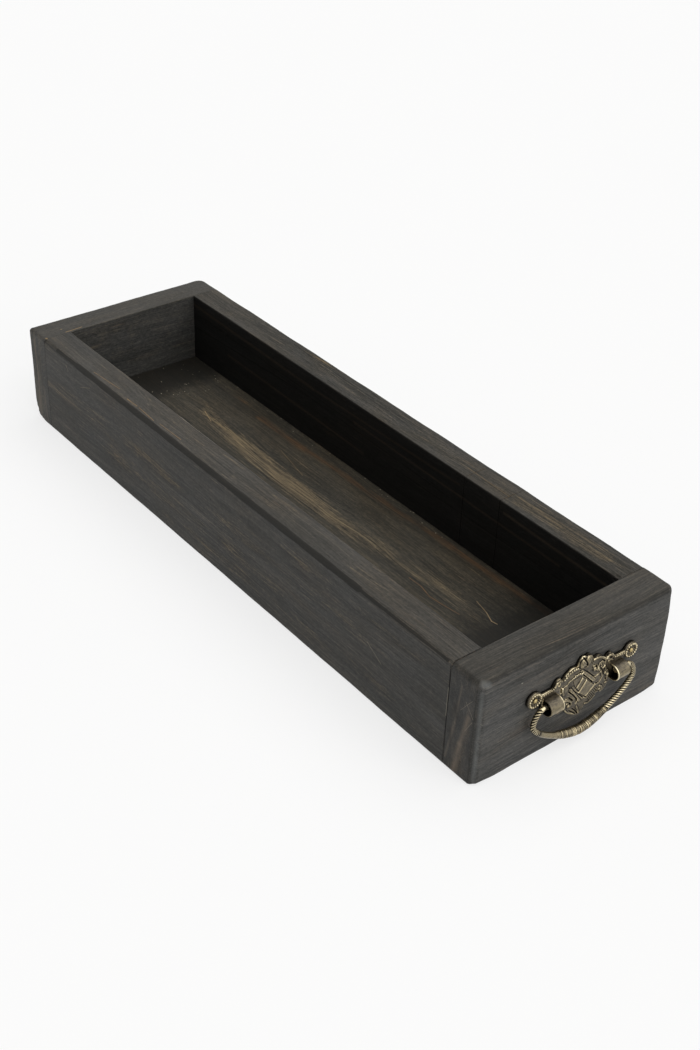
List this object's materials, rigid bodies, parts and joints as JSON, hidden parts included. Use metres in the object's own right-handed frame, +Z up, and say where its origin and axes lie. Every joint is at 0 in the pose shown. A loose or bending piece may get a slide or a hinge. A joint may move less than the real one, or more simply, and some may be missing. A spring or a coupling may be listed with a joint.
{
  "type": "wooden tray with handles",
  "caption": "Narrow rectangular open tray of dark stained boards with a cast bail handle hung on each end board.",
  "frame": {"origin": "middle of the underside, on the surface that the tray stands on", "axes": "+X along the tray towards the end with the visible handle in the picture, +Y across it away from the long side that the picture shows, +Z up"},
  "size_m": [0.4368, 0.127, 0.062],
  "materials": {
    "stained_pine_side": "dark stain, matt",
    "stained_pine_end": "dark stain, matt",
    "stained_pine_bottom": "dark stain rubbed through, matt",
    "beech_dowel": "raw",
    "antique_bronze": "antiqued casting",
    "aged_brass_bail": "antiqued casting",
    "brass_pin": "polished by wear"
  },
  "bodies": {
    "tray": {"front_side_board": "stained_pine_side", "back_side_board_long": "stained_pine_side", "back_side_board_insert": "stained_pine_side", "back_side_board_short": "stained_pine_side", "right_end_board": "stained_pine_end", "left_end_board": "stained_pine_end", "bottom_board": "stained_pine_bottom", "front_right_corner_dowel_lower": "beech_dowel", "front_right_corner_dowel_upper": "beech_dowel", "front_left_corner_dowel_lower": "beech_dowel", "front_left_corner_dowel_upper": "beech_dowel", "back_right_corner_dowel_lower": "beech_dowel", "back_right_corner_dowel_upper": "beech_dowel", "back_left_corner_dowel_lower": "beech_dowel", "back_left_corner_dowel_upper": "beech_dowel", "right_bottom_dowel_front": "beech_dowel", "right_bottom_dowel_back": "beech_dowel", "left_bottom_dowel_front": "beech_dowel", "left_bottom_dowel_back": "beech_dowel", "right_handle_plate": "antique_bronze", "left_handle_plate": "antique_bronze", "right_handle_first_pin": "brass_pin", "right_handle_second_pin": "brass_pin", "left_handle_first_pin": "brass_pin", "left_handle_second_pin": "brass_pin"},
    "right_bail": {"right_handle_bail": "aged_brass_bail"},
    "left_bail": {"left_handle_bail": "aged_brass_bail"}
  },
  "joints": [
    {"name": "right_bail_swing", "type": "hinge", "parent": "tray", "child": "right_bail", "pos_m": [0.2141, 0.0023, 0.0325], "axis": [0, -1, 0], "range_deg": [0, 170]},
    {"name": "left_bail_swing", "type": "hinge", "parent": "tray", "child": "left_bail", "pos_m": [-0.2141, 0, 0.0325], "axis": [0, 1, 0], "range_deg": [0, 170]}
  ]
}
